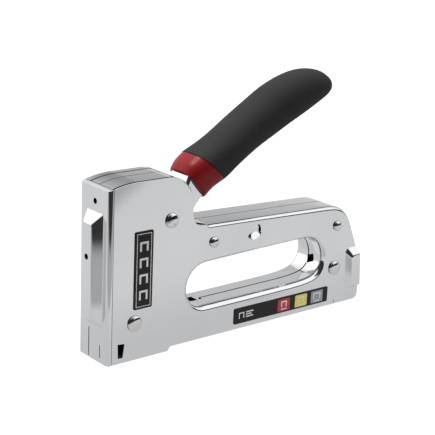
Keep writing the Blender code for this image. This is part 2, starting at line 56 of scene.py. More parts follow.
SIDES = {-1: "near", 1: "far"}
HALF_THICK = 13.2
WALL = 1.0
SEAM_Y = 0.15
SEAM_GAP = 0.26
NOSE_WALL = 1.2
STROKE_ARM = 26.5
ARM_ANGLE = math.radians(13.0)
LEVER_PIVOT = (39.5, 73.9)
LATCH_PIVOT = (161.4, 25.6)
# x, z, head radius, shank radius
RIVETS = {
    "rivet_loop_front": (68.6, 57.1, 3.1, 1.8),
    "rivet_nose": (17.0, 20.8, 4.5, 2.2),
    "rivet_loop_rear": (161.8, 51.7, 3.1, 1.8),
    "lever_pin": (*LEVER_PIVOT, 4.15, 3.0),
    "latch_pin": (*LATCH_PIVOT, 4.25, 2.2),
}
# Side outline, clockwise from the front of the foot: x, z, radius of the fold at the side face.
OUTLINE = [
    (0.0, 0.0, 0.5), (0.0, 30.0, 0.5), (0.0, 60.0, 0.5), (0.0, 94.4, 0.6), (1.3, 95.0, 0.6), (6.0, 96.3, 0.7),
    (12.0, 97.2, 0.8), (18.0, 97.5, 0.8), (37.0, 97.4, 0.8), (41.0, 96.9, 0.7), (45.2, 95.3, 0.6),
    (49.2, 92.1, 0.6), (52.1, 88.1, 0.6), (53.3, 83.0, 0.6), (53.9, 77.4, 0.6), (54.3, 73.4, 0.6),
    (55.0, 71.0, 0.5), (56.4, 69.3, 0.4), (58.6, 68.4, 0.4), (61.5, 68.0, 0.4), (63.4, 67.7, 0.5),
    (64.6, 67.4, 1.9), (95.0, 66.4, 2.0), (132.0, 65.1, 2.2), (148.0, 64.5, 2.3), (156.0, 64.1, 2.3),
    (160.5, 63.3, 2.2), (164.3, 61.8, 2.0), (167.6, 59.4, 1.6), (170.2, 56.1, 1.0), (172.2, 52.4, 0.7),
    (174.4, 47.0, 0.6),
    (176.6, 41.7, 0.6), (178.9, 35.6, 0.6), (180.8, 29.0, 0.6), (182.0, 21.0, 0.6), (182.8, 12.0, 0.6),
    (182.9, 6.1, 0.6), (182.3, 4.0, 0.6), (181.0, 2.8, 0.6), (178.9, 2.4, 0.6), (163.4, 2.4, 0.5),
    (120.0, 2.4, 0.5), (80.0, 2.4, 0.5), (41.2, 2.4, 0.5), (40.4, 1.6, 0.5), (39.4, 0.0, 0.5),
]
# Lip of the finger slot after its rounded front end: x, z, radius of the fold.
SLOT_LIP = [
    (64.0, 17.7, 3.3), (89.0, 17.8, 3.3), (119.0, 18.1, 3.3), (134.7, 18.5, 3.3), (141.6, 19.2, 3.3),
    (146.8, 20.5, 3.3), (150.6, 22.7, 3.3), (153.3, 25.8, 3.3), (154.8, 29.6, 3.3), (155.1, 33.6, 3.2),
    (153.9, 38.2, 3.0), (151.6, 42.2, 2.6), (148.5, 45.5, 2.2), (145.0, 47.8, 1.8), (140.6, 49.2, 1.7),
    (135.0, 49.6, 1.6), (100.0, 48.9, 1.6), (66.0, 47.9, 1.6),
]
# That rounded end: x, z and radius of its arc. Its fold: the radius at the top, and its growth per point.
SLOT_FRONT = (64.3, 32.8, 15.1)
SLOT_FRONT_FOLD = (1.6, 0.17)
# In the far shell the fold is tighter by a step, down to the least, and the lip's rear end is moved back by
# the reach, from a start in x and over a length.
FAR_SLOT_STEP = 1.9
FAR_SLOT_LEAST = 0.5
FAR_SLOT_REACH = 1.5
FAR_SLOT_REAR = (138.0, 12.0)
# Cuts in both shells, as spans of x, y and z.
LEVER_GAP = ((49.6, 58.4), (-12.1, 12.1), (60.0, 110.0))
FLOOR_NOTCH = ((61.6, 69.8), (-3.0, 7.0), (16.4, 25.0))
FRONT_GAP = ((-9.0, 2.8), (-20.0, 20.0), (-5.0, 110.0))
REAR_GAP = ((174.0, 195.0), (-12.1, 12.1), (3.5, 36.4))
MAGAZINE_GAP = ((2.0, 195.0), (-8.2, 8.2), (-3.0, 3.8))
# The hole in the slot's rear wall, as y, z.
REAR_WINDOW = [(3.4, 30.2), (-4.6, 33.8), (-5.9, 29.5), (2.0, 25.9)]
# The wedge-shaped sight hole in the foot, as x, z.
SIGHT = [(6.4, 11.2), (10.8, 10.7), (9.7, 3.0), (6.7, 3.2)]
# The groove along the nose's top of each shell, as a span of y by side, and the fold at the edge next to it.
TOP_GROOVES = {-1: (-12.95, -11.6), 1: (7.6, 8.7)}
NOSE_TOP_FOLD = 0.22
# The groove along the slot's floor, in the near shell only: its depth and its span of y.
SLOT_LINE_DEPTH = 0.8
SLOT_LINE = (-1.25, -0.3)
# The notch in the front end of the loop's top and its undercut, as x and distance from the middle.
RELIEF = [(55.0, 12.7), (64.2, 12.7), (64.2, 11.5), (58.5, 6.0), (55.0, 2.6)]
RELIEF_UNDERCUT = [(55.0, 12.7), (66.2, 12.7), (66.2, 10.3), (60.3, 4.4), (55.0, 0.8)]
# The small slot in the loop's near side, and the hooked tab under it, as x, z.
HOOK_SLOT = [
    (99.3, 62.4), (101.0, 61.9), (101.8, 59.9), (102.3, 57.2), (101.8, 55.8), (101.0, 56.4), (100.2, 57.8),
    (100.0, 59.4), (100.1, 60.9),
]
HOOK_TAB = [
    (94.1, 57.4), (96.2, 58.3), (98.1, 58.8), (99.9, 57.6), (100.7, 56.8), (99.8, 55.6), (97.4, 54.7),
    (95.0, 54.2), (93.7, 55.5),
]
# A rear pocket: x, z of its base on the side face and of its flat face further out, with their corner radii.
POCKET_BASE = [(170.7, 9.8), (182.8, 9.8), (178.4, 37.2), (169.3, 37.2)]
POCKET_BASE_RADII = (1.2, 0.3, 0.5, 3.4)
POCKET_FACE = [(175.5, 12.8), (181.3, 12.8), (179.9, 31.8), (173.7, 31.3)]
POCKET_FACE_RADII = (0.9, 0.3, 0.5, 2.2)
POCKET_DEPTH = 3.5
# How it swells: the share of the way from base to face, and the share of the depth.
POCKET_SWELL = [
    (0.0, 0.0), (0.06, 0.03), (0.16, 0.12), (0.5, 0.56), (0.76, 0.84), (0.86, 0.92), (0.94, 0.97),
    (1.0, 0.993), (1.07, 1.0),
]
# The nose plate's rib and its hollow, from the root to the front: x, half width, bottom, top, corner radius.
RIB = [
    (1.0, 9.0, 18.4, 83.0, 1.6), (0.0, 8.3, 19.6, 82.0, 1.5), (-0.35, 7.7, 20.3, 81.2, 1.5),
    (-4.2, 4.8, 23.4, 76.9, 1.3), (-4.7, 4.3, 23.8, 76.3, 1.2), (-4.93, 3.9, 24.2, 75.8, 1.0),
    (-RIB_REACH, 3.4, 24.7, 75.3, 0.7),
]
RIB_HOLLOW = [(2.0, 7.6, 20.4, 81.0, 1.0), (-3.8, 2.9, 25.2, 74.8, 0.8)]
# Handle sections: x, z, half height, half width, tilt in degrees, roundness exponent.
COLLAR = [
    (58.5, 88.45, 8.9, 9.9, 39, 3.3), (59.2, 89.05, 10.2, 10.9, 40, 3.2), (63.1, 93.15, 10.9, 11.8, 44, 3.0),
    (69.2, 96.85, 11.9, 12.7, 49, 2.8),
]
CORE = [
    (69.2, 96.85, 8.6, 9.8, 49, 2.6), (76.0, 100.45, 8.3, 9.9, 36, 2.4), (95.1, 112.55, 8.2, 9.8, 30, 2.2),
    (111.0, 121.35, 8.2, 9.4, 28, 2.2), (123.0, 127.35, 7.4, 8.6, 25, 2.2),
    (126.0, 128.55, 5.0, 6.0, 25, 2.2),
]
GRIP = [
    (69.5, 97.15, 12.0, 12.8, 49, 2.8), (76.0, 100.45, 11.1, 12.8, 36, 2.6),
    (83.5, 105.15, 11.0, 13.0, 31, 2.3), (95.1, 112.55, 11.3, 13.2, 30, 2.2),
    (106.9, 119.15, 11.9, 13.4, 28.5, 2.2), (118.7, 125.55, 12.5, 13.6, 26, 2.2),
    (130.6, 130.65, 12.1, 13.6, 22, 2.2), (140.6, 133.95, 10.7, 13.0, 16, 2.2),
    (148.8, 135.35, 8.5, 11.3, 10, 2.2), (153.8, 135.15, 6.1, 8.6, 6, 2.2), (156.8, 134.85, 3.9, 5.8, 4, 2.2),
    (159.0, 134.65, 1.0, 1.8, 4, 2.0),
]
# The lever's neck, a U-shaped channel: its half width, then x, z, radius of the bend at its side plates.
NECK_HALF = 8.4
NECK = [
    (33.8, 76.05, 1.0), (36.0, 80.05, 1.4), (44.0, 82.15, 1.7), (49.5, 86.05, 1.8), (52.5, 91.55, 1.8),
    (54.6, 97.15, 1.8), (64.8, 87.55, 0.2), (62.7, 82.75, 0.2), (58.7, 78.55, 0.2), (56.6, 74.75, 0.2),
    (52.0, 68.75, 0.2), (46.0, 65.55, 0.2), (39.0, 65.55, 0.2), (34.2, 69.15, 0.4),
]
NECK_HOLLOW = [
    (35.3, 59.55), (35.0, 75.55), (37.0, 78.85), (44.6, 80.85), (50.5, 85.05), (53.8, 91.05), (55.6, 94.75),
    (62.5, 87.15), (73.0, 77.55), (61.0, 59.55),
]
NECK_RIB = [
    (36.0, 73.55), (38.0, 79.95), (45.0, 81.85), (50.0, 85.95), (53.4, 92.15), (55.0, 90.55), (52.0, 83.55),
    (48.5, 75.55), (45.0, 68.55), (37.0, 68.55),
]
TONGUE = [
    (55.6, 90.15), (56.4, 95.95), (69.0, 101.55), (87.0, 111.55), (113.0, 126.35), (115.2, 121.95),
    (91.0, 107.15), (73.0, 95.95), (59.5, 88.15),
]

# Camera: azimuth, elevation and roll in degrees, and its place in millimetres in the frame.
CAMERA_ANGLES = (-39.435, 16.465, 2.445)
CAMERA_PLACE = (-423.5, -505.3, 259.1)
CAMERA_LENS = 101.91

# ---------------------------------------------------------------- mesh helpers

BEVEL_ANGLE = 35.0
FOLD_STEPS = 8
CORNER_STEPS = 7
SECTION_SIDES = 96
HEAD_SIDES = 56
HOLE_SIDES = 40


def mesh_object(name, bm):
    """An object of the bmesh, in mm, with its faces turned outwards and its mesh in metres in the frame."""
    bmesh.ops.remove_doubles(bm, verts=bm.verts, dist=1e-4)
    bmesh.ops.recalc_face_normals(bm, faces=bm.faces)
    if bm.calc_volume(signed=True) < 0:
        bmesh.ops.reverse_faces(bm, faces=bm.faces)
    for vert in bm.verts:
        vert.co = ((vert.co.x + X_SHIFT) * MM, vert.co.y * MM, vert.co.z * MM)
    mesh = bpy.data.meshes.new(name)
    bm.to_mesh(mesh)
    bm.free()
    obj = bpy.data.objects.new(name, mesh)
    bpy.context.scene.collection.objects.link(obj)
    return obj


def loft(bm, rings):
    rows = [[bm.verts.new(point) for point in ring] for ring in rings]
    count = len(rows[0])
    for low, high in zip(rows, rows[1:]):
        for i in range(count):
            j = (i + 1) % count
            bm.faces.new((low[i], low[j], high[j], high[i]))
    bm.faces.new(rows[0][::-1])
    bm.faces.new(rows[-1])


def lofted(name, rings, bevel=0.0, steps=3, angle=30.0):
    """A closed solid through rings of equal length, with its edges rounded if a bevel is given."""
    bm = bmesh.new()
    loft(bm, rings)
    if bevel:
        round_edges(bm, bevel, steps, angle)
    return mesh_object(name, bm)


def round_edges(bm, width, steps, angle):
    bm.normal_update()
    edges = [e for e in bm.edges if e.is_manifold and e.calc_face_angle(0.0) > math.radians(angle)]
    bmesh.ops.bevel(
        bm, geom=edges, offset=width, segments=steps, profile=0.5, affect="EDGES", clamp_overlap=True
    )


def prism(name, loop, low, high, axis="y", **options):
    """A flat loop run straight along an axis: (x, z) along y, (x, y) along z, (y, z) along x."""
    place = {
        "x": lambda a, b, t: (t, a, b),
        "y": lambda a, b, t: (a, t, b),
        "z": lambda a, b, t: (a, b, t),
    }[axis]
    return lofted(name, [[place(a, b, t) for a, b in loop] for t in (low, high)], **options)


def rectangle(x0, z0, x1, z1):
    return [(x0, z0), (x1, z0), (x1, z1), (x0, z1)]


def box(name, x, y, z, **options):
    """A box from its spans of x, y and z."""
    return prism(name, rectangle(x[0], z[0], x[1], z[1]), *y, **options)


def circle(x, z, radius, sides=64, start=0.0, turn=2 * math.pi):
    """A circle as a loop, or an arc with both of its ends."""
    steps = sides if abs(turn - 2 * math.pi) < 1e-6 else sides - 1
    return [
        (x + radius * math.cos(start + turn * i / steps), z + radius * math.sin(start + turn * i / steps))
        for i in range(sides)
    ]


def disc(name, x, z, radius, low, high, sides=64, axis="y"):
    return prism(name, circle(x, z, radius, sides), low, high, axis)


def rounded_box_loop(low, high, radius, steps=6):
    """A rectangle with round corners, as a loop."""
    (a0, b0), (a1, b1) = low, high
    middles = [
        (a1 - radius, b1 - radius, 0), (a0 + radius, b1 - radius, 90), (a0 + radius, b0 + radius, 180),
        (a1 - radius, b0 + radius, 270),
    ]
    loop = []
    for a, b, start in middles:
        loop += circle(a, b, radius, steps, math.radians(start), math.pi / 2)
    return loop


def inward(loop, amounts):
    """Moves each corner of a closed loop to the inside by its own amount, along the mitre."""
    points = np.array(loop, float)
    area = 0.5 * np.sum(points[:, 0] * np.roll(points[:, 1], -1) - np.roll(points[:, 0], -1) * points[:, 1])
    turn = 1.0 if area > 0 else -1.0
    normals = []
    for edge in (points - np.roll(points, 1, axis=0), np.roll(points, -1, axis=0) - points):
        edge = edge / np.linalg.norm(edge, axis=1)[:, None]
        normals.append(turn * np.stack([-edge[:, 1], edge[:, 0]], axis=1))
    mitre = normals[0] + normals[1]
    mitre /= (mitre * normals[0]).sum(axis=1)[:, None]
    return points + mitre * np.reshape(amounts, (-1, 1))


def grown(loop, amount):
    return [tuple(p) for p in inward(loop, np.full(len(loop), -amount))]


def smooth_loop(points, sharp=40.0, most=2.5, straight=12.0):
    """A closed curve through rows of x, z and any further values, with at most so many degrees per step.
    Corners over sharp degrees stay, and so do edges longer than straight and three times their neighbour."""
    rows = np.array(points, float)
    count = len(rows)
    edges = np.roll(rows, -1, axis=0)[:, :2] - rows[:, :2]
    lengths = np.linalg.norm(edges, axis=1)
    units = edges / lengths[:, None]

    def angle(a, b):
        return math.degrees(math.acos(float(np.clip(np.dot(a, b), -1.0, 1.0))))

    def tangent(i, leaving):
        before, after = units[i - 1], units[i]
        if angle(before, after) > sharp:
            return after if leaving else before
        long, short = lengths[i - 1], lengths[i]
        if long > straight and long > 3 * short:
            return before
        if short > straight and short > 3 * long:
            return after
        mean = short * before + long * after
        return mean / np.linalg.norm(mean)

    out = []
    for i in range(count):
        j = (i + 1) % count
        start, end = tangent(i, True), tangent(j, False)
        bend = angle(start, units[i]) + angle(end, units[i])
        steps = int(min(max(math.ceil(bend / most), 1), 12))
        for k in range(steps):
            t = k / steps
            place = (
                (2 * t**3 - 3 * t**2 + 1) * rows[i, :2] + (t**3 - 2 * t**2 + t) * lengths[i] * start
                + (3 * t**2 - 2 * t**3) * rows[j, :2] + (t**3 - t**2) * lengths[i] * end
            )
            place = np.clip(place, rows[:, :2].min(axis=0), rows[:, :2].max(axis=0))
            out.append((*place, *(rows[i, 2:] * (1 - t) + rows[j, 2:] * t)))
    return out


def boolean(target, operation, cutters):
    """Applies the cutters to the target one after the other and removes them."""
    for cutter in cutters:
        step = target.modifiers.new(cutter.name, "BOOLEAN")
        step.operation = operation
        step.object = cutter
        step.solver = "MANIFOLD"
    bake(target)
    for cutter in cutters:
        mesh = cutter.data
        bpy.data.objects.remove(cutter, do_unlink=True)
        bpy.data.meshes.remove(mesh)


def bake(obj):
    """Turns an object's modifiers into its mesh."""
    graph = bpy.context.evaluated_depsgraph_get()
    made = bpy.data.meshes.new_from_object(obj.evaluated_get(graph))
    old, obj.data = obj.data, made
    obj.modifiers.clear()
    bpy.data.meshes.remove(old)
    made.name = obj.name


def cut(target, *cutters):
    boolean(target, "DIFFERENCE", cutters)


def inside(looks, *cutters):
    """Cutters whose cut faces take the second of a piece's two materials: near-black metal, painted shade."""
    for cutter in cutters:
        for look in looks:
            cutter.data.materials.append(look)
        for face in cutter.data.polygons:
            face.material_index = 1
    return cutters


def join(target, *pieces):
    boolean(target, "UNION", pieces)


def shade(obj, look, body, nodes, angle=28.0, bevel=0.0):
    """Smooth shading with edges over the angle kept hard, one material or a list, and the piece's place on
    the frame. A bevel rounds the edges over BEVEL_ANGLE first."""
    bm = bmesh.new()
    bm.from_mesh(obj.data)
    bmesh.ops.remove_doubles(bm, verts=bm.verts, dist=1e-7)
    bmesh.ops.dissolve_degenerate(bm, edges=bm.edges, dist=1e-7)
    bm.to_mesh(obj.data)
    bm.free()
    if bevel:
        step = obj.modifiers.new("edges", "BEVEL")
        step.width = bevel * MM
        step.segments = 2
        step.limit_method = "ANGLE"
        step.angle_limit = math.radians(BEVEL_ANGLE)
        step.harden_normals = False
        bake(obj)
    bm = bmesh.new()
    bm.from_mesh(obj.data)
    for face in bm.faces:
        face.smooth = True
    for edge in bm.edges:
        edge.smooth = not edge.is_manifold or edge.calc_face_angle(0.0) < math.radians(angle)
    bm.to_mesh(obj.data)
    bm.free()
    step = obj.modifiers.new("normals", "WEIGHTED_NORMAL")
    step.keep_sharp = True
    step.weight = 60
    looks = look if isinstance(look, list) else [look]
    kept = [min(face.material_index, len(looks) - 1) for face in obj.data.polygons]
    obj.data.materials.clear()
    for item in looks:
        obj.data.materials.append(item)
    obj.data.polygons.foreach_set("material_index", kept)
    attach(obj, body)
    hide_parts(*nodes)


# ---------------------------------------------------------------- materials

WHITE = (1.0, 1.0, 1.0, 1.0)


class Graph:
    """A node tree being built. A value given to an input is a number, a tuple, or another node's output."""

    def __init__(self, owner):
        owner.use_nodes = True
        self.tree = owner.node_tree
        self.tree.nodes.clear()

    def add(self, kind, inputs=None, **settings):
        node = self.tree.nodes.new("ShaderNode" + kind)
        for key, value in settings.items():
            setattr(node, key, value)
        for key, value in (inputs or {}).items():
            socket = node.inputs[key]
            if isinstance(value, bpy.types.NodeSocket):
                self.tree.links.new(value, socket)
            else:
                socket.default_value = value
        return node

    def out(self, kind, inputs=None, output=0, **settings):
        return self.add(kind, inputs, **settings).outputs[output]

    def noise(self, place, scale, detail, roughness=0.55, stretch=None):
        if stretch:
            place = self.out("Mapping", {"Vector": place, "Scale": stretch})
        inputs = {"Vector": place, "Scale": scale, "Detail": detail, "Roughness": roughness}
        return self.out("TexNoise", inputs)

    def spread(self, value, low, high, to_low=0.0, to_high=1.0, kind="LINEAR"):
        """Turns the range from low to high into another one."""
        inputs = {"Value": value, "From Min": low, "From Max": high, "To Min": to_low, "To Max": to_high}
        return self.out("MapRange", inputs, interpolation_type=kind)

    def smooth_step(self, value, low, high, to_low=0.0, to_high=1.0):
        return self.spread(value, low, high, to_low, to_high, "SMOOTHSTEP")

    def calculated(self, operation, values):
        total = values[0]
        for value in values[1:]:
            total = self.out("Math", {0: total, 1: value}, operation=operation)
        return total

    def total(self, *values):
        return self.calculated("ADD", values)

    def product(self, *values):
        return self.calculated("MULTIPLY", values)

    def along(self, place, direction):
        return self.out("VectorMath", {0: place, 1: direction}, output=1, operation="DOT_PRODUCT")

    def mix(self, factor, low, high):
        return self.out("Mix", {0: factor, 6: low, 7: high}, output=2, data_type="RGBA")

    def glow(self, strength):
        return self.out("Emission", {"Color": WHITE, "Strength": strength})

    def bump(self, height, distance, strength=1.0, normal=None):
        inputs = {"Height": height, "Distance": distance, "Strength": strength}
        if normal is not None:
            inputs["Normal"] = normal
        return self.out("Bump", inputs)


def metal(name, colour, rough, grain=0.04, direction=(30.0, 900.0, 900.0), smudge=22.0):
    """Plated or bright metal: a slightly wavy sheet, hairline scratches, smudges and a duller foot. Roughness
    goes from the first value of rough to the second in the smudges, and up by grain in the scratches."""
    look = bpy.data.materials.new(name)
    g = Graph(look)
    place = g.out("TexCoord", output=3)
    cloud = g.noise(place, smudge, 4.0)
    hair = g.noise(place, 1.0, 2.0, 0.6, stretch=direction)
    sheet = g.noise(place, 55.0, 1.0, 0.4)
    fleck = g.noise(place, 900.0, 2.0, 0.6)
    height = g.out("SeparateXYZ", {"Vector": place}, output=2)
    roughness = g.total(
        g.spread(cloud, 0.35, 0.68, *rough),
        g.spread(hair, 0.55, 0.75, 0.0, grain),
        g.spread(height, 0.0, 0.012, 0.1, 0.0),
        g.spread(fleck, 0.66, 0.8, 0.0, 0.08),
    )
    dark = tuple(c * 0.94 for c in colour)
    tint = g.mix(g.spread(cloud, 0.3, 0.7), (*dark, 1.0), (*colour, 1.0))
    normal = g.bump(sheet, 2e-5)
    normal = g.bump(hair, 1e-6, 0.35, normal)
    shader = g.out("BsdfPrincipled", {
        "Base Color": tint, "Metallic": 1.0, "Roughness": roughness, "Normal": normal,
    })
    g.add("OutputMaterial", {"Surface": shader})
    return look


def plastic(name, colour, worn, rough, grain_scale, grain_depth, gleam=0.5):
    """Moulded plastic or rubber: a fine texture, and broad changes of gloss and towards a worn tone."""
    look = bpy.data.materials.new(name)
    g = Graph(look)
    place = g.out("TexCoord", output=3)
    cloud = g.noise(place, 30.0, 4.0)
    fine = g.noise(place, grain_scale, 3.0, 0.6)
    soft = g.noise(place, 140.0, 2.0, 0.5)
    tint = g.mix(g.spread(cloud, 0.38, 0.7), (*colour, 1.0), (*worn, 1.0))
    roughness = g.total(g.spread(cloud, 0.3, 0.7, *rough), g.spread(fine, 0.3, 0.7, -0.04, 0.05))
    normal = g.bump(soft, 1.2e-5, 0.6)
    normal = g.bump(fine, grain_depth, 0.8, normal)
    shader = g.out("BsdfPrincipled", {
        "Base Color": tint, "Roughness": roughness, "Normal": normal, "Specular IOR Level": gleam,
    })
    g.add("OutputMaterial", {"Surface": shader})
    return look


# ---------------------------------------------------------------- pieces of the body


def folded(name, loop, radii, start, end, steps=FOLD_STEPS, hole=False):
    """A solid whose outline is rolled in (or flared out, for a hole) towards the side face at start."""
    way = 1.0 if end > start else -1.0
    radii = np.array(radii, float)
    rings = []
    for i in range(steps + 1):
        turn = math.radians(90.0 * i / steps)
        amount = radii * (1.0 - math.sin(turn))
        depth = radii * (1.0 - math.cos(turn))
        flat = inward(loop, -amount if hole else amount)
        rings.append([(x, start + way * y, z) for (x, z), y in zip(flat, depth)])
    rings.append([(x, end, z) for x, z in loop])
    return lofted(name, rings)


def rolled(name, rows, half, grow=0.0):
    """A solid of x, z, radius rows across the body, its outline rolled in towards both side planes."""
    loop = inward([(x, z) for x, z, _ in rows], np.full(len(rows), -grow))
    radii = np.array([r for _, _, r in rows]) + grow
    rings = []
    for i in range(FOLD_STEPS + 1):
        turn = math.radians(90.0 * i / FOLD_STEPS)
        flat = inward(loop, radii * (1.0 - math.sin(turn)))
        depth = -half - grow + radii * (1.0 - math.cos(turn))
        rings.append([(x, y, z) for (x, z), y in zip(flat, depth)])
    return lofted(name, rings + [[(x, -y, z) for x, y, z in ring] for ring in reversed(rings)])


def slot_lip(side):
    """The finger slot's lip in one shell, as x, z and the radius of its fold."""
    x, z, radius = SLOT_FRONT
    arc = circle(x, z, radius, 11, math.radians(90), math.pi)
    fold, growth = SLOT_FRONT_FOLD
    lip = [(a, b, fold + growth * i) for i, (a, b) in enumerate(arc)]
    lip = lip[1:-1] + SLOT_LIP
    if side > 0:
        start, span = FAR_SLOT_REAR
        moved = []
        for a, b, r in lip:
            back = min(max((a - start) / span, 0.0), 1.0)
            moved.append((a + FAR_SLOT_REACH * back, b, max(r - FAR_SLOT_STEP, FAR_SLOT_LEAST)))
        lip = moved
    return smooth_loop(lip)


def rounded(loop, radii):
    """A polygon with each corner rounded by its own radius."""
    points = np.array(loop, float)
    out = []
    for i, radius in enumerate(radii):
        a, b = points[i - 1] - points[i], points[(i + 1) % len(points)] - points[i]
        a, b = a / np.linalg.norm(a), b / np.linalg.norm(b)
        half = 0.5 * math.acos(float(np.dot(a, b)))
        middle = points[i] + (a + b) / np.linalg.norm(a + b) * radius / math.sin(half)
        first, last = (points[i] + v * radius / math.tan(half) - middle for v in (a, b))
        turn = math.atan2(first[0] * last[1] - first[1] * last[0], float(np.dot(first, last)))
        for k in range(CORNER_STEPS):
            c, d = (f(turn * k / (CORNER_STEPS - 1)) for f in (math.cos, math.sin))
            out.append(middle + (first[0] * c - first[1] * d, first[0] * d + first[1] * c))
    return np.array(out)


def pocket(name, side):
    """The flared rear pocket: from its base on the side face it swells to a smaller flat face further out."""
    low = rounded(POCKET_BASE, POCKET_BASE_RADII)
    top = rounded(POCKET_FACE, POCKET_FACE_RADII)
    rings = []
    for part, depth in POCKET_SWELL:
        flat = low * (1.0 - part) + top * part
        rings.append([(x, side * (HALF_THICK - 0.5 + POCKET_DEPTH * depth), z) for x, z in flat])
    return lofted(name, rings)


def pocket_inside(name, side):
    """The hollow of a rear pocket, which is open at the body's rear."""
    middle = 20.0
    low = [(x if x > 180.0 else x + WALL, z + (WALL if z < middle else -WALL)) for x, z in POCKET_BASE]
    top = [(x + 0.6, z + (0.8 if z < middle else -0.8)) for x, z in POCKET_FACE]
    rings = []
    for loop, y in ((low, 10.5), (top, 14.0)):
        rings.append([(190.0 if x > 178.0 else x, side * y, z) for x, z in loop])
    return lofted(name, rings)


def top_groove(name, rows, side):
    """A narrow groove along the nose's top."""
    near, far = TOP_GROOVES[side]
    above, below = 0.5, -1.6
    rings = []
    for x, z, _ in rows:
        if 2.0 < x < 46.5 and z > 90.0:
            section = ((near, above), (near, below), (far, below), (far, above))
            rings.append([(x, y, z + h) for y, h in section])
    return lofted(name, rings)


def relief(name, rows, side):
    """The notch in the front end of the loop's top. Its undercut edge lets it open straight into the body."""
    xs, zs = np.array([(x, z) for x, z, _ in rows if 54.0 < x < 67.0 and z > 60.0]).T
    rings = []
    for loop, drop in ((RELIEF, 1.5), (RELIEF, -0.12), (RELIEF_UNDERCUT, -1.3), (RELIEF_UNDERCUT, -2.6)):
        rings.append([(x, side * y, float(np.interp(x, xs, zs)) + drop) for x, y in loop])
    return lofted(name, rings)


def hook_tab(name):
    """The tab bent out of the near side, which stands out further towards its bottom."""
    top = max(z for _, z in HOOK_TAB)
    rings = [
        [(x, -HALF_THICK + 0.5, z) for x, z in HOOK_TAB],
        [(x, -HALF_THICK - 0.1 - 0.42 * (top - z), z) for x, z in HOOK_TAB],
    ]
    return lofted(name, rings, bevel=0.15)


def shell(name, side, looks):
    """One folded half of the body: side face, rolled flanges, slot wall and rear pocket. The second of its
    two materials, near-black, is painted shade on its inside and on the faces cut for its grooves, notch and
    gaps."""
    reach = SEAM_Y + side * SEAM_GAP
    rows = smooth_loop(OUTLINE)
    outer = [(x, z) for x, z, _ in rows]
    radii = np.array([r for _, _, r in rows])
    lip = slot_lip(side)
    lip_radii = np.array([r for _, _, r in lip])
    hole_loop = inward([(x, z) for x, z, _ in lip], lip_radii)
    radii[[2.0 < x < 46.0 and z > 90.0 for x, z in outer]] = NOSE_TOP_FOLD
    face, past = side * HALF_THICK, reach - side * 3.0
    body = folded(name, outer, radii, face, reach)
    for look in looks:
        body.data.materials.append(look)
    inner = grown(outer, -WALL)
    inner_radii = np.maximum(radii - WALL, 0.15)
    cavity = folded(name + "_cavity", inner, inner_radii, side * (HALF_THICK - WALL), past, steps=3)
    cut(body, *inside(looks, cavity))
    join(body, prism(name + "_slot_wall", grown(hole_loop, WALL), side * (HALF_THICK - 0.5), reach))
    cut(
        body,
        folded(name + "_slot", hole_loop, lip_radii, face, past, hole=True),
        prism(name + "_slot_mouth", [(x, z) for x, z, _ in lip], side * (HALF_THICK + 2.0), face),
    )
    marks = top_groove(name + "_top_groove", rows, side), relief(name + "_relief", rows, side)
    cut(body, *inside(looks, *marks))
    gaps = box(name + "_lever_gap", *LEVER_GAP), box(name + "_floor_notch", *FLOOR_NOTCH)
    cut(body, *inside(looks, *gaps))
    if side < 0:
        line = prism(name + "_slot_line", grown(hole_loop, SLOT_LINE_DEPTH), *SLOT_LINE)
        cut(body, *inside(looks, line))
    join(body, pocket(name + "_pocket", side))
    through = sorted((side * 20.0, side * 10.0))
    cut(
        body,
        pocket_inside(name + "_pocket_inside", side),
        box(name + "_front", *FRONT_GAP),
        prism(name + "_rear_window", REAR_WINDOW, 149.0, 158.0, axis="x"),
        box(name + "_rear_gap", *REAR_GAP),
        box(name + "_magazine_gap", *MAGAZINE_GAP),
        prism(name + "_sight", SIGHT, *through),
        box(name + "_seam_slit", (162.7, 163.2), through, (0.0, 5.2)),
    )
    holes = []
    for pin, (x, z, _, shank) in RIVETS.items():
        holes.append(disc(f"{name}_{pin}_hole", x, z, shank + 0.3, *through))
    cut(body, *holes)
    if side < 0:
        cut(body, prism(name + "_hook_slot", HOOK_SLOT, *through))
        join(body, hook_tab(name + "_hook_tab"))
    shade(body, looks, "body", [name])


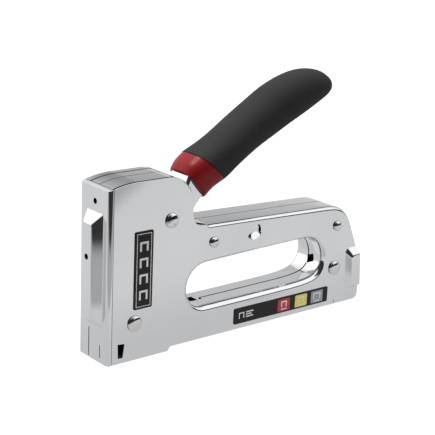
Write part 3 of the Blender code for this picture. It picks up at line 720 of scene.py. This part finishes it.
def nose_plate(look):
    """The folded plate over the body's front: a hollow rib, a stepped flange down each side, and holes."""

    def section(grow, depth):
        half = HALF_THICK - grow
        bend, tight = 2.5 - grow, max(0.9 - grow, 0.2)
        left = circle(grow + bend, -half + bend, bend, 18, math.radians(270), -math.pi / 2)
        right = circle(grow + tight, half - tight, tight, 18, math.radians(180), -math.pi / 2)
        return [(depth, -half)] + left + right + [(depth, half)]

    def rib_ring(x, half, low, high, corner):
        return [(x, y, z) for y, z in rounded_box_loop((-half, low), (half, high), corner)]

    plate = prism("nose_plate_sheet", section(0.0, 2.55), 0.0, 96.0, axis="z")
    slope = [(x, z) for x, z, _ in OUTLINE[3:6]]
    above = [(-6.0, slope[0][1]), *slope, (6.0, 99.0), (-6.0, 99.0)]
    join(plate, lofted("rib", [rib_ring(*row) for row in RIB]))
    cut(
        plate,
        prism("nose_hollow", section(NOSE_WALL, 4.0), -2.0, 93.2, axis="z"),
        lofted("rib_inside", [rib_ring(*row) for row in RIB_HOLLOW]),
        prism("nose_slope", above, -14.0, 14.0),
    )
    for side, word in SIDES.items():
        join(
            plate,
            box(f"nose_step_{word}", (1.7, 2.5), sorted((side * 10.9, side * 12.6)), (1.6, 92.0)),
            box(f"nose_flange_{word}", (1.7, 6.0), sorted((side * 10.9, side * 11.9)), (1.6, 92.0)),
        )
    cut(
        plate,
        disc("nose_top_hole", 0.0, 87.0, 1.6, -3.0, 3.0, HOLE_SIDES, "x"),
        disc("nose_rib_hole", 0.0, 58.0, 1.6, -9.0, 0.0, HOLE_SIDES, "x"),
        box("nose_slit_far", (-1.0, 1.6), (4.0, 4.7), (0.9, 17.2)),
        box("nose_slit_near", (-1.0, 1.6), (-6.3, -5.7), (2.8, 10.0)),
    )
    shade(plate, look, "body", ["nose_plate"], bevel=0.12)


def rivet(name, look):
    """A pin across the body with a domed head on each side."""
    x, z, head, shank = RIVETS[name]
    seat, rim, crown = HALF_THICK + 0.12, 0.35, 1.7
    turns = np.radians(np.linspace(0, 86, 14))
    dome = [(math.cos(a) * head, seat + rim + math.sin(a) * (crown - rim)) for a in turns]
    right = [(shank, seat), (head - 0.15, seat), (head - 0.03, seat + 0.12)] + dome
    profile = [(r, -y) for r, y in reversed(right)] + right
    bm = bmesh.new()
    loft(bm, [[(a, y, b) for a, b in circle(x, z, radius, HEAD_SIDES)] for radius, y in profile])
    shade(mesh_object(name + "_fine", bm), look, "body", [name])


# ---------------------------------------------------------------- handle


def section_ring(x, z, height, width, tilt, power, grow=0.0):
    """One section of the handle, a tilted oval that nears a rectangle as the power rises."""
    a = math.radians(tilt)
    ring = []
    for i in range(SECTION_SIDES):
        t = 2 * math.pi * i / SECTION_SIDES
        c, s = math.cos(t), math.sin(t)
        y = (width + grow) * math.copysign(abs(c) ** (2 / power), c)
        m = (height + grow) * math.copysign(abs(s) ** (2 / power), s)
        ring.append((x - m * math.sin(a), y, z + m * math.cos(a)))
    return ring


def handle_rings(sections, steps=8, grow=0.0):
    """Rings on a smooth curve through the sections, with so many steps from each one to the next."""
    rows = np.array(sections, float)
    ends = np.vstack([2 * rows[0] - rows[1], rows, 2 * rows[-1] - rows[-2]])
    out = []
    for i in range(len(rows) - 1):
        p0, p1, p2, p3 = ends[i:i + 4]
        for k in range(steps):
            t = k / steps
            row = 2 * p1 + (p2 - p0) * t
            row = row + (2 * p0 - 5 * p1 + 4 * p2 - p3) * t * t
            row = row + (3 * p1 - 3 * p2 + p3 - p0) * t ** 3
            out.append(0.5 * row)
    return [section_ring(*row, grow) for row in [*out, rows[-1]]]


def moved_along(section, amount):
    """A section moved along the handle."""
    x, z, height, width, tilt, power = section
    turn = math.radians(tilt)
    return (x + amount * math.cos(turn), z + amount * math.sin(turn), height, width, tilt, power)


def lever(look):
    """The chromed lever: its arm in the body, the hub on the pivot, and the neck and tongue in the handle."""
    x, z = LEVER_PIVOT
    along = np.array([-math.cos(ARM_ANGLE), -math.sin(ARM_ANGLE)])
    across = np.array([-along[1], along[0]])
    pivot = np.array([x, z])
    arm = [pivot + along * (STROKE_ARM + t) + across * h for t, h in
           ((0.0, 2.0), (-6.0, 2.1), (-13.0, 3.4), (-21.0, 6.0), (-30.0, 6.0), (-30.0, -6.0), (-21.0, -6.0),
            (-13.0, -3.4), (-6.0, -2.1), (0.0, -2.0))]
    body = prism("lever_arm_fine", [tuple(p) for p in arm], -4.2, 4.2)
    tip = pivot + along * STROKE_ARM
    neck = rolled("neck", NECK, NECK_HALF)
    cut(neck, prism("neck_hollow", NECK_HOLLOW, -7.0, 7.0))
    join(
        body,
        disc("arm_tip", tip[0], tip[1], 3.0, -4.2, 4.2),
        disc("hub", x, z, 6.2, -5.0, 5.0),
        neck,
        prism("neck_rib", NECK_RIB, -4.4, 4.4),
        prism("tongue", TONGUE, -5.0, 5.0),
    )
    cut(body, disc("lever_bore", x, z, 3.3, -20.0, 20.0))
    shade(body, look, "handle", ["lever_arm"])


def handle(red, black):
    """The red core with its collar, and the black cover over it, which stays below the CAD's top."""
    gap = 0.3
    core = lofted("grip_core_fine", handle_rings(COLLAR) + handle_rings(CORE))
    cut(
        core,
        rolled("neck_socket", NECK, NECK_HALF, grow=gap),
        prism("tongue_socket", grown(TONGUE, gap), -5.3, 5.3),
    )
    shade(core, red, "handle", ["grip_core"])
    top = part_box("grip_cover")[1].z / MM
    rings = [[(x, y, min(z, top)) for x, y, z in ring] for ring in handle_rings(GRIP)]
    cover = lofted("grip_cover_fine", rings)
    gap = 0.35
    mouth = section_ring(*moved_along(CORE[0], -3.0), gap)
    bottom = section_ring(*moved_along(CORE[-1], 0.6), gap)
    cut(cover, lofted("cover_socket", [mouth, *handle_rings(CORE, 2, gap), bottom]))
    shade(cover, black, "handle", ["grip_cover"], angle=50)


# ---------------------------------------------------------------- labels

# Material slots of the ink; slot 0 is the black plate.
WHITE_INK, RED_INK, YELLOW_INK, GREY_INK = 1, 2, 3, 4


def ink(bm, loop, side, slot):
    """A thin raised patch of ink on a label, as a closed prism with its own material slot."""
    start = len(bm.faces)
    level = 0.05 if slot == WHITE_INK else 0.03   # white also lies on the coloured patches
    low, high = side * (HALF_THICK + 0.4), side * (HALF_THICK + 0.45 + level)
    loft(bm, [[(a, y, b) for a, b in loop] for y in (low, high)])
    bm.faces.ensure_lookup_table()
    for face in bm.faces[start:]:
        face.material_index = slot


def staple_mark(x, z, width, height, line):
    """The outline of a staple: a crown with two legs, as three bars."""
    left, right, shoulder = x - width / 2, x + width / 2, z + height - line
    return [
        rectangle(left, shoulder, right, z + height),
        rectangle(left, z, left + line, shoulder),
        rectangle(right - line, z, right, shoulder),
    ]


def label(name, side, low, high, marks, looks, node):
    """A rounded black plate with patches of ink: (loop, material slot)."""
    bm = bmesh.new()
    back, front = side * (HALF_THICK + 0.1), side * (HALF_THICK + 0.45)
    (x0, z0), (x1, z1) = low, high
    rings = []
    for y, shrink in ((back, 0.0), (front - side * 0.1, 0.0), (front - side * 0.03, 0.04), (front, 0.12)):
        inner = (x0 + shrink, z0 + shrink), (x1 - shrink, z1 - shrink)
        rings.append([(x, y, z) for x, z in rounded_box_loop(*inner, 0.9 - shrink)])
    loft(bm, rings)
    for loop, slot in marks:
        ink(bm, loop, side, slot)
    bm.normal_update()
    shade(mesh_object(name, bm), looks, "body", [node])


def plaque_marks():
    """A plain keyline and a row of generic staple marks, all white."""
    (x0, z0), (x1, z1) = (17.1, 29.6), (26.4, 69.8)
    line = 0.35
    loops = [
        rectangle(x0, z0, x1, z0 + line),
        rectangle(x0, z1 - line, x1, z1),
        rectangle(x0, z0 + line, x0 + line, z1 - line),
        rectangle(x1 - line, z0 + line, x1, z1 - line),
    ]
    for i in range(4):
        loops += staple_mark(21.75, 33.4 + 8.9 * i, 5.4, 5.2, 1.15)
    return [(loop, WHITE_INK) for loop in loops]


def strip_marks():
    """Generic bars and a staple mark in white, and coloured squares with staple marks of three widths."""
    bars_x = 93.6
    marks = [(loop, WHITE_INK) for loop in staple_mark(90.4, 8.5, 3.8, 3.6, 0.6)]
    for z, length in ((11.4, 5.4), (10.0, 4.0), (8.6, 5.4)):
        marks.append((rectangle(bars_x, z, bars_x + length, z + 0.7), WHITE_INK))
    for x, slot, width in ((122.3, RED_INK, 4.2), (135.6, YELLOW_INK, 5.0), (148.3, GREY_INK, 5.8)):
        marks.append((rounded_box_loop((x - 4.7, 6.6), (x + 4.7, 13.9), 0.6), slot))
        marks += [(loop, WHITE_INK) for loop in staple_mark(x, 8.9, width, 3.7, 0.75)]
        marks.append((rectangle(x - 2.2, 7.4, x + 2.2, 8.0), WHITE_INK))
    return marks


def labels(looks):
    """On each side an upright plaque and a strip, with looks for the plate and then each ink."""
    for side, word in SIDES.items():
        plaque, strip = word + "_plaque", word + "_strip"
        label(plaque + "_fine", side, (15.9, 28.4), (27.6, 71.0), plaque_marks(), looks, plaque)
        label(strip + "_fine", side, (85.0, 5.6), (157.0, 14.9), strip_marks(), looks, strip)


# ---------------------------------------------------------------- magazine and latch


def magazine(steel, dark):
    """The rail that holds the staples, its end cap and the pusher."""
    rail = box("staple_rail_fine", (4.3, 163.2), (-4.6, 4.6), (3.4, 12.6), bevel=0.5, steps=4)
    cut(rail, box("rail_hollow", (3.0, 170.0), (-3.8, 3.8), (4.2, 20.0)))
    shade(rail, steel, "magazine", ["staple_rail"])
    cap = box("magazine_end_cap_fine", (163.6, 181.0), (-7.8, 7.8), (2.7, 11.2), bevel=0.8, steps=4)
    cut(
        cap,
        box("cap_recess", (166.5, 178.2), (-6.4, 6.4), (5.2, 20.0)),
        disc("rod_socket", 0.0, 8.3, 1.4, 150.0, 165.0, axis="x"),
    )
    shade(cap, steel, "magazine", ["magazine_end_cap"])
    pusher = box("pusher_fine", (6.0, 15.0), (-5.9, 5.9), (5.6, 14.4), bevel=0.4)
    cut(
        pusher,
        box("pusher_near_gap", (0.0, 20.0), (-4.9, -3.5), (0.0, 12.9)),
        box("pusher_far_gap", (0.0, 20.0), (3.5, 4.9), (0.0, 12.9)),
        disc("pusher_bore", 0.0, 8.3, 1.4, 0.0, 20.0, axis="x"),
    )
    shade(pusher, dark, "pusher_block", ["pusher"])


def latch(steel):
    """The rear latch: a hub round its pin, and a back that reaches down over the magazine's end cap."""
    x, z = LATCH_PIVOT
    hub = circle(x, z, 4.3, 24, math.radians(250), -math.radians(140))
    back = [(166.0, 31.4), (174.6, 34.0), (177.4, 33.0), (178.0, 24.0), (176.8, 14.4), (175.4, 12.0),
            (171.6, 12.0), (171.4, 13.8), (173.6, 15.6), (174.4, 23.0), (169.0, 22.4), (165.0, 21.2)]
    piece = prism("latch_fine", hub + back, -7.6, 7.6, bevel=0.4, steps=3, angle=40)
    cut(
        piece,
        disc("latch_bore", x, z, 2.5, -20.0, 20.0),
        box("latch_track", (150.0, 190.0), (-6.3, 6.3), (0.0, 15.4)),
    )
    shade(piece, steel, "rear_latch", ["latch"])


# ---------------------------------------------------------------- studio


def add_camera():
    azimuth, elevation, roll = (math.radians(value) for value in CAMERA_ANGLES)
    flat = math.cos(elevation)
    back = Vector((math.sin(azimuth) * flat, -math.cos(azimuth) * flat, math.sin(elevation)))
    right = Vector((math.cos(azimuth), math.sin(azimuth), 0.0))
    up = back.cross(right)
    across = right * math.cos(roll) + up * math.sin(roll)
    upright = up * math.cos(roll) - right * math.sin(roll)
    turned = Matrix((across, upright, back))
    data = bpy.data.cameras.new("camera")
    data.lens = CAMERA_LENS
    data.sensor_width = 36.0
    data.clip_start, data.clip_end = 0.01, 20.0
    camera = bpy.data.objects.new("camera", data)
    camera.matrix_world = Matrix.Translation(Vector(CAMERA_PLACE) * MM) @ turned.transposed().to_4x4()
    bpy.context.scene.collection.objects.link(camera)
    bpy.context.scene.camera = camera


def plane(name, half, height):
    """A level square of the studio, in metres, which isn't part of the object."""
    bm = bmesh.new()
    square = rectangle(-half, -half, half, half)
    bm.faces.new([bm.verts.new((x, y, height)) for x, y in square])
    mesh = bpy.data.meshes.new(name)
    bm.to_mesh(mesh)
    bm.free()
    obj = bpy.data.objects.new(name, mesh)
    bpy.context.scene.collection.objects.link(obj)
    return obj


def add_floor():
    """The floor that the camera sees."""
    floor = plane("floor", 5.0, 0.0)
    look = bpy.data.materials.new("floor_white")
    g = Graph(look)
    diffuse = g.out("BsdfDiffuse", {"Color": (0.12, 0.12, 0.12, 1.0)})
    g.add("OutputMaterial", {"Surface": g.out("AddShader", {0: diffuse, 1: g.glow(0.97)})})
    floor.data.materials.append(look)
    floor.visible_glossy = floor.visible_diffuse = floor.visible_shadow = False


TOWARDS = (math.sin(math.radians(CAMERA_ANGLES[0])), -math.cos(math.radians(CAMERA_ANGLES[0])), 0.0)
RIGHTWARDS = (0.616, -0.788, 0.0)
# Centre of a painted shadow on the mirrored sheet, in front of the object, in metres.
PAINTED_SHADOW_SPOT = (0.05, -0.073, 0.0)


def add_sheet():
    """The white sheet that the chrome mirrors, in metres. It darkens in two steps towards the camera, far
    behind the object and far to its right; a little right under it and at a spot in front of it it is darker
    as a painted shadow of the object."""
    sheet = plane("floor_sheet", 5.0, -0.0002)
    look = bpy.data.materials.new("sheet_white")
    g = Graph(look)
    place = g.out("TexCoord", output=3)
    reach = g.along(place, TOWARDS)
    narrowed = g.out("VectorMath", {0: place, 1: (0.3, 1.0, 0.0)}, operation="MULTIPLY")
    from_shadow_middle = g.out("VectorMath", {0: narrowed}, output=1, operation="LENGTH")
    off_shadow_spot = g.out("VectorMath", {0: place, 1: PAINTED_SHADOW_SPOT}, output=1, operation="DISTANCE")
    ends = g.product(
        g.smooth_step(reach, 0.137, 0.16, 1.0, 0.6),
        g.smooth_step(reach, 0.235, 0.285, 1.0, 0.08),
        g.smooth_step(g.along(place, RIGHTWARDS), 0.36, 0.46, 1.0, 0.05),
    )
    level = g.product(
        ends,
        g.smooth_step(reach, -0.36, -0.24, 0.08, 1.0),
        # Painted shadow of the object: a little darker right under it, and darker at a spot in front of it.
        g.smooth_step(from_shadow_middle, 0.02, 0.12, 0.86, 1.0),
        g.smooth_step(off_shadow_spot, 0.012, 0.03, 0.66, 1.0),
    )
    g.add("OutputMaterial", {"Surface": g.glow(level)})
    sheet.data.materials.append(look)
    sheet.visible_camera = sheet.visible_shadow = False


def add_card():
    """A low white card behind the object, in metres, which only its chrome mirrors. It lights the floor of
    the finger slot."""
    card = plane("card", 0.5, 0.0)
    card.scale = (1.0, 0.08, 1.0)
    card.rotation_euler = (math.pi / 2, 0.0, math.radians(-39.4))
    card.location = (0.0635, 0.0773, 0.04)
    look = bpy.data.materials.new("card_white")
    g = Graph(look)
    g.add("OutputMaterial", {"Surface": g.glow(0.8)})
    card.data.materials.append(look)
    card.visible_camera = card.visible_shadow = card.visible_diffuse = False


def facing(g, way, azimuth, inner, outer):
    """1 within the inner angle of an azimuth in the plan, fading to 0 at the outer one, in degrees."""
    flat = g.out("VectorMath", {0: way, 1: (1.0, 1.0, 0.0)}, operation="MULTIPLY")
    flat = g.out("VectorMath", {0: flat}, operation="NORMALIZE")
    a = math.radians(azimuth)
    dot = g.along(flat, (math.cos(a), math.sin(a), 0.0))
    return g.smooth_step(dot, math.cos(math.radians(outer)), math.cos(math.radians(inner)))


# Brightness of the studio round the object by height, as sine of the elevation: all round, and in its wedges.
ROOM = [(-1.0, 0.9), (0.0, 0.62), (0.08, 0.62), (0.16, 1.0), (0.45, 1.0), (0.8, 1.5), (1.0, 1.6)]
FRONT = [(-1.0, 0.05), (0.0, 0.04), (0.3, 0.05), (0.68, 0.05), (0.80, 0.5), (0.88, 1.4), (1.0, 1.6)]
RIGHT = [
    (-1.0, 0.6), (0.0, 0.8), (0.2, 0.8), (0.235, 0.68), (0.265, 0.45), (0.36, 0.45), (0.45, 0.6), (0.56, 0.6),
    (0.61, 0.04), (0.73, 0.04), (0.79, 1.5), (1.0, 1.6),
]
LEFT = [(-1.0, 0.8), (0.0, 1.0), (0.1, 1.75), (0.72, 1.75), (1.0, 1.6)]
SOFTBOX = [(-1.0, 0.3), (-0.1, 0.05), (0.0, 0.03), (0.17, 0.03), (0.22, 1.6), (1.0, 1.6)]
# The wedges, each over the ones before: azimuth, inner and outer half angle in degrees, brightness. The
# camera stands in the last one.
WEDGES = [
    (40.0, 22.0, 34.0, RIGHT), (118.0, 20.0, 34.0, LEFT), (-52.0, 24.0, 36.0, SOFTBOX),
    (-131.0, 50.0, 64.0, FRONT),
]


def add_world():
    """White behind the object for the camera. For the rest a plain studio: pale walls, a bright ceiling, a
    dark front, and a soft box to the front right."""
    world = bpy.data.worlds.new("studio")
    bpy.context.scene.world = world
    g = Graph(world)
    way = g.out("TexCoord", output=0)
    height = g.out("SeparateXYZ", {"Vector": way}, output=2)

    def ramp(stops):
        node = g.add("ValToRGB", {"Fac": g.spread(height, -1.0, 1.0)})
        bands = node.color_ramp.elements
        while len(bands) < len(stops):
            bands.new(0.5)
        for element, (z, value) in zip(bands, stops):
            element.position = 0.5 + 0.5 * z
            element.color = (value, value, value, 1.0)
        return node.outputs[0]

    light = ramp(ROOM)
    for azimuth, inner, outer, stops in WEDGES:
        light = g.mix(facing(g, way, azimuth, inner, outer), light, ramp(stops))
    room = g.out("Background", {"Color": light, "Strength": 1.0})
    white = g.out("Background", {"Color": WHITE, "Strength": 1.05})
    seen = g.out("LightPath", output=0)
    g.add("OutputWorld", {"Surface": g.out("MixShader", {0: seen, 1: room, 2: white})})


def add_lamp():
    """A round soft light above the object and to the camera's left of it, in metres and watts."""
    data = bpy.data.lights.new("key", "AREA")
    data.shape = "DISK"
    data.size = 0.5
    data.energy = 9.0
    lamp = bpy.data.objects.new("key", data)
    lamp.location = (-0.35, 0.25, 1.1)
    aim = Vector((0.0, 0.0, 0.05)) - lamp.location
    lamp.rotation_euler = aim.to_track_quat("-Z", "Y").to_euler()
    bpy.context.scene.collection.objects.link(lamp)
    lamp.visible_camera = False


def studio():
    add_camera()
    add_floor()
    add_sheet()
    add_card()
    add_world()
    add_lamp()
    bpy.context.scene.view_settings.view_transform = "Standard"


# ---------------------------------------------------------------- everything


def carry_over(look, nodes):
    """Gives the CAD solids that stay, mostly inside the body, their material."""
    for node in nodes:
        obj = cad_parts[node]
        obj.data.materials.clear()
        obj.data.materials.append(look)


def main():
    chrome = metal("chrome", (0.60, 0.606, 0.618), (0.04, 0.085))
    steel = metal("bright_steel", (0.56, 0.56, 0.565), (0.16, 0.26), grain=0.08, smudge=60.0)
    rail = metal("drawn_steel", (0.5, 0.5, 0.5), (0.24, 0.36), grain=0.12, smudge=40.0)
    blued = metal("blued_steel", (0.07, 0.07, 0.075), (0.3, 0.45), grain=0.12, smudge=40.0)
    even = (600.0, 600.0, 600.0)
    spring = metal("spring_steel", (0.34, 0.34, 0.35), (0.28, 0.4), grain=0.1, direction=even)
    red = plastic(
        "red_plastic", (0.20, 0.008, 0.009), (0.235, 0.011, 0.012), (0.22, 0.32), 1500.0, 4e-6, gleam=0.12
    )
    black = plastic(
        "black_rubber", (0.027, 0.027, 0.0272), (0.034, 0.034, 0.0342), (0.66, 0.78), 2600.0, 4.5e-5,
        gleam=0.08,
    )
    dark = plastic("dark_moulding", (0.03, 0.03, 0.031), (0.04, 0.04, 0.041), (0.4, 0.55), 1800.0, 1.5e-5)
    plate = plastic(
        "label_black", (0.0095, 0.009, 0.0095), (0.013, 0.0125, 0.013), (0.34, 0.46), 2500.0, 3e-6, gleam=0.18
    )
    prints = [
        plate,
        plastic("ink_white", (0.78, 0.78, 0.76), (0.7, 0.7, 0.69), (0.35, 0.5), 2500.0, 3e-6),
        plastic("ink_red", (0.5, 0.014, 0.03), (0.42, 0.012, 0.026), (0.35, 0.5), 2500.0, 3e-6),
        plastic("ink_yellow", (0.78, 0.70, 0.13), (0.7, 0.62, 0.11), (0.35, 0.5), 2500.0, 3e-6),
        plastic("ink_grey", (0.31, 0.33, 0.37), (0.27, 0.29, 0.33), (0.35, 0.5), 2500.0, 3e-6),
    ]
    # Near-black metal on the shells' insides and in their cut grooves, notch and gaps: painted shade.
    painted_shade = metal("painted_shade_metal", (0.03, 0.03, 0.032), (0.4, 0.55), grain=0.12, smudge=40.0)
    for side, word in SIDES.items():
        shell(word + "_shell", side, [chrome, painted_shade])
    nose_plate(chrome)
    polished = metal("polished_steel", (0.55, 0.55, 0.555), (0.05, 0.1), grain=0.05, smudge=60.0)
    for name in RIVETS:
        rivet(name, polished)
    lever(chrome)
    handle(red, black)
    labels(prints)
    magazine(rail, dark)
    latch(steel)
    carry_over(steel, ["hammer", "driver_blade", "hammer_pin"])
    carry_over(blued, ["magazine_channel"])
    carry_over(rail, ["guide_rod"])
    carry_over(spring, ["main_spring", "return_spring", "pusher_spring", "latch_spring"])
    carry_over(dark, ["spring_seat", "bumper"])
    studio()


main()
